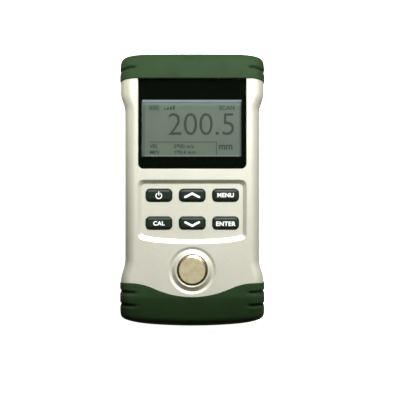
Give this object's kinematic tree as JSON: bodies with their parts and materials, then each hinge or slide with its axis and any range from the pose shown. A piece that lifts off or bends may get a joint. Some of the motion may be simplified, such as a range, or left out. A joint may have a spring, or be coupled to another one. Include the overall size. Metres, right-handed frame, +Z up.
{
  "type": "ultrasonic thickness gauge",
  "caption": "Hand-held ultrasonic wall-thickness gauge with rubber end boots, display, sprung keys, steel test block, probe sockets and a hinged battery door.",
  "frame": {"origin": "centre of the resting plane under the two rubber boots, the gauge lying on its back", "axes": "+X to the right of the display, +Y along the length towards the probe sockets, +Z up out of the display"},
  "size_m": [0.064, 0.1204, 0.0279],
  "materials": {
    "housing": "champagne-silver satin paint on moulded plastic",
    "boot_rubber": "olive green soft rubber",
    "lens": "clear acrylic with a black printed border",
    "gasket_foam": "black foam",
    "lcd_glass": "grey-green display face",
    "diffuser": "white diffuser",
    "white_plastic": "natural white moulding",
    "contact_rubber": "striped contact rubber",
    "board": "green solder mask",
    "black_plastic": "black moulding",
    "key_rubber": "dark green-black silicone",
    "test_steel": "turned and ground steel",
    "socket_metal": "nickel plated turned metal",
    "plated_steel": "zinc plated",
    "cell_wrap": "plain green wrap"
  },
  "bodies": {
    "case": {"front_shell": "housing", "rear_shell": "housing", "top_boot": "boot_rubber", "bottom_boot": "boot_rubber", "display_lens": "lens", "lens_gasket": "gasket_foam", "lcd_panel": "lcd_glass", "lcd_backlight": "diffuser", "lcd_holder": "white_plastic", "zebra_strips": "contact_rubber", "main_board": "board", "board_components": "black_plastic", "keypad_mat": "key_rubber", "test_block": "test_steel", "probe_socket_left": "socket_metal", "probe_socket_right": "socket_metal", "socket_insulators": "white_plastic", "socket_nuts": "plated_steel", "probe_leads": "black_plastic", "battery_left": "cell_wrap", "battery_right": "cell_wrap", "battery_springs": "plated_steel", "battery_plates": "plated_steel", "case_screws": "plated_steel", "board_screws": "plated_steel"},
    "key_power": {"key_power": "key_rubber"},
    "key_up": {"key_up": "key_rubber"},
    "key_menu": {"key_menu": "key_rubber"},
    "key_cal": {"key_cal": "key_rubber"},
    "key_down": {"key_down": "key_rubber"},
    "key_enter": {"key_enter": "key_rubber"},
    "battery_door": {"battery_door": "housing"}
  },
  "joints": [
    {"name": "key_power_press", "type": "slide", "parent": "case", "child": "key_power", "axis": [0, 0, -1], "range_m": [0, 0.0012], "stiffness_N_per_m": 800},
    {"name": "key_up_press", "type": "slide", "parent": "case", "child": "key_up", "axis": [0, 0, -1], "range_m": [0, 0.0012], "stiffness_N_per_m": 800},
    {"name": "key_menu_press", "type": "slide", "parent": "case", "child": "key_menu", "axis": [0, 0, -1], "range_m": [0, 0.0012], "stiffness_N_per_m": 800},
    {"name": "key_cal_press", "type": "slide", "parent": "case", "child": "key_cal", "axis": [0, 0, -1], "range_m": [0, 0.0012], "stiffness_N_per_m": 800},
    {"name": "key_down_press", "type": "slide", "parent": "case", "child": "key_down", "axis": [0, 0, -1], "range_m": [0, 0.0012], "stiffness_N_per_m": 800},
    {"name": "key_enter_press", "type": "slide", "parent": "case", "child": "key_enter", "axis": [0, 0, -1], "range_m": [0, 0.0012], "stiffness_N_per_m": 800},
    {"name": "battery_door_hinge", "type": "hinge", "parent": "case", "child": "battery_door", "pos_m": [0, -0.0386, 0.0018], "axis": [-1, 0, 0], "range_deg": [0, 90]}
  ]
}
